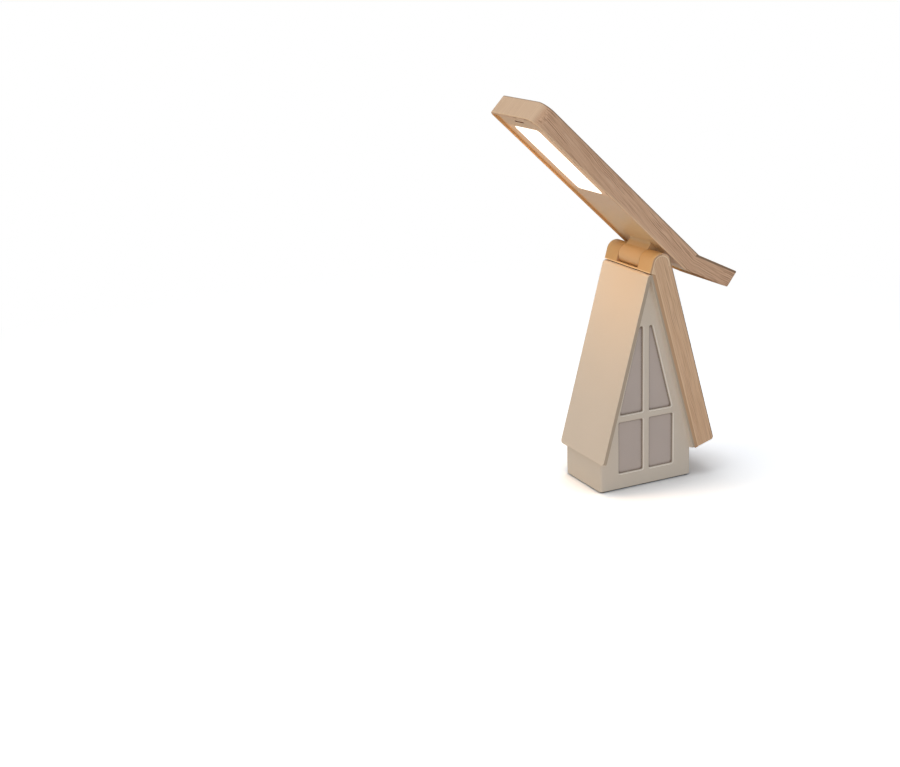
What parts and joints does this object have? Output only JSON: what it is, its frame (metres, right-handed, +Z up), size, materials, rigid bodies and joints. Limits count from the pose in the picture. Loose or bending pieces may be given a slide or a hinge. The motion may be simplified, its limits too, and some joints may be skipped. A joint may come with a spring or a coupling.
{
  "type": "table lamp",
  "caption": "House-shaped cordless table lamp: A-frame body with a pane window and a bent reading arm hinged on the ridge that folds down over one roof slope.",
  "frame": {"origin": "centre of the base, on the table", "axes": "+Z up; the window gable faces -Y; the arm leans towards -X and its hinge axis is along Y"},
  "size_m": [0.1701, 0.065, 0.2891],
  "materials": {
    "house_plastic": "fine satin moulded plastic, warm cream",
    "wood_skin": "matt light wood-look skin with lengthwise grain",
    "diffuser": "frosted translucent sheet",
    "lens": "frosted light cover",
    "pad_rubber": "matt",
    "steel": "plain zinc-plated",
    "ballast_steel": "rough",
    "board": "solder-masked board",
    "leds": "light-emitting diodes",
    "cell": "shrink sleeve",
    "inner_plastic": "moulded",
    "dark_window": "smoked",
    "button": "satin moulded plastic",
    "bush_plastic": "acetal",
    "light_pipe": "clear moulded"
  },
  "bodies": {
    "house": {"house_shell": "house_plastic", "rear_cover": "house_plastic", "window_diffuser": "diffuser", "base_plate": "house_plastic", "base_pad": "pad_rubber", "ballast_plate": "ballast_steel", "base_screws": "steel", "battery_cell": "cell", "battery_cradle": "inner_plastic", "main_board": "board", "board_screws": "steel", "charging_socket": "steel", "push_switch": "inner_plastic", "charge_light_pipe": "light_pipe", "glow_board": "board", "glow_leds": "leds", "slab_shell": "wood_skin", "slab_core": "house_plastic", "slab_screws": "steel", "hinge_pin": "steel", "friction_washers": "steel"},
    "arm": {"arm_shell": "wood_skin", "arm_underplate": "house_plastic", "arm_lens": "lens", "led_board": "board", "arm_leds": "leds", "sensor_window": "dark_window", "disc_springs": "steel", "knuckle_bush": "bush_plastic"},
    "button": {"power_button": "button", "switch_plunger": "inner_plastic"}
  },
  "joints": [
    {"name": "arm_hinge", "type": "hinge", "parent": "house", "child": "arm", "pos_m": [0.00894, 0, 0.1693], "axis": [0, 1, 0], "range_deg": [-117.29, 30]},
    {"name": "button_press", "type": "slide", "parent": "house", "child": "button", "axis": [0, -1, 0], "range_m": [0, 0.0005], "stiffness_N_per_m": 400, "springref_m": -0.001}
  ]
}
